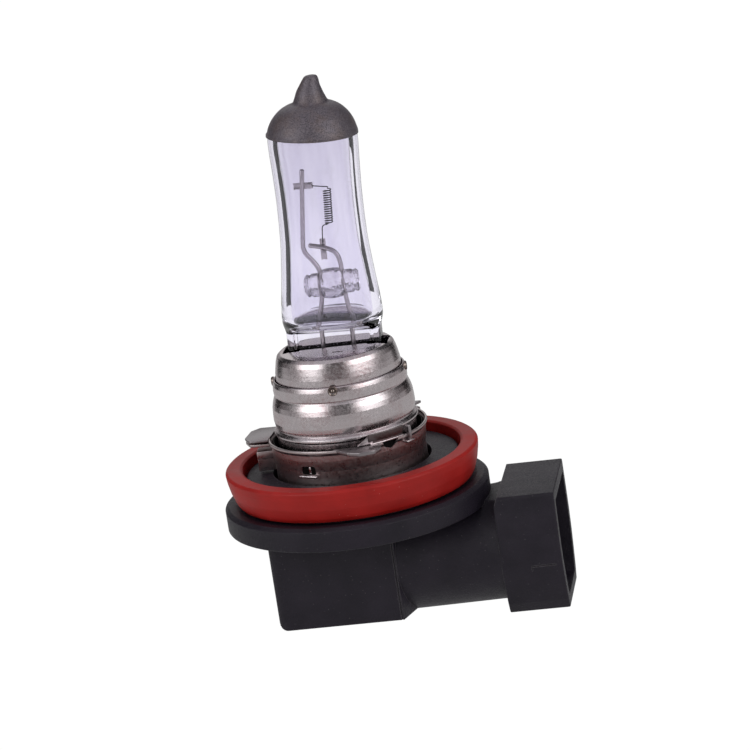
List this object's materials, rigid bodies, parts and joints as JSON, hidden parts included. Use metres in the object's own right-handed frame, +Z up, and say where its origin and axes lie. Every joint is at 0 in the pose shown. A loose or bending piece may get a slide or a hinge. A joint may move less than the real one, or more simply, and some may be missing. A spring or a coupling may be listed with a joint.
{
  "type": "headlight bulb",
  "caption": "Halogen headlight bulb: clear glass capsule with a dark cap in a bright metal holder on a black right-angle plastic base with a red seal ring and connector hood.",
  "frame": {"origin": "on the bulb's axis, on the flat bottom face of the plastic base", "axes": "+Z up the bulb's axis towards the glass tip; +X out of the connector hood; +Y completes the right-handed frame"},
  "size_m": [0.04, 0.0318, 0.0659],
  "materials": {
    "clear_glass": "clear, faint lavender tint",
    "bridge_glass": "clear, fire-polished",
    "cap_coating": "satin, dark, fine sparkle",
    "tungsten": "dull dark metal",
    "support_metal": "drawn wire, satin",
    "foil": "thin bright foil",
    "lead_metal": "drawn wire, satin",
    "spring_steel": "spring sheet, satin",
    "nickel_plate": "nickel plate, lightly scuffed",
    "ring_plate": "nickel plate, satin",
    "red_silicone": "satin silicone",
    "black_plastic": "fine grained, matte",
    "tinned_blade": "tin plate, satin"
  },
  "bodies": {
    "lamp": {"glass_capsule": "clear_glass", "blackout_cap": "cap_coating", "filament": "tungsten", "long_support_wire": "support_metal", "short_support_wire": "support_metal", "upper_filament_clip": "support_metal", "lower_filament_clip": "support_metal", "quartz_bridge": "bridge_glass", "seal_foil_long": "foil", "seal_foil_short": "foil", "outer_lead_long": "lead_metal", "outer_lead_short": "lead_metal", "burner_clip": "spring_steel", "burner_holder": "nickel_plate", "focus_sleeve": "nickel_plate", "cap_ring": "ring_plate", "connector_base": "black_plastic", "contact_blade_long": "tinned_blade", "contact_blade_short": "tinned_blade"},
    "seal": {"seal_ring": "red_silicone"}
  },
  "joints": [
    {"name": "seal_ring_lift", "type": "slide", "parent": "lamp", "child": "seal", "axis": [0, 0, 1], "range_m": [0, 0.055]}
  ]
}
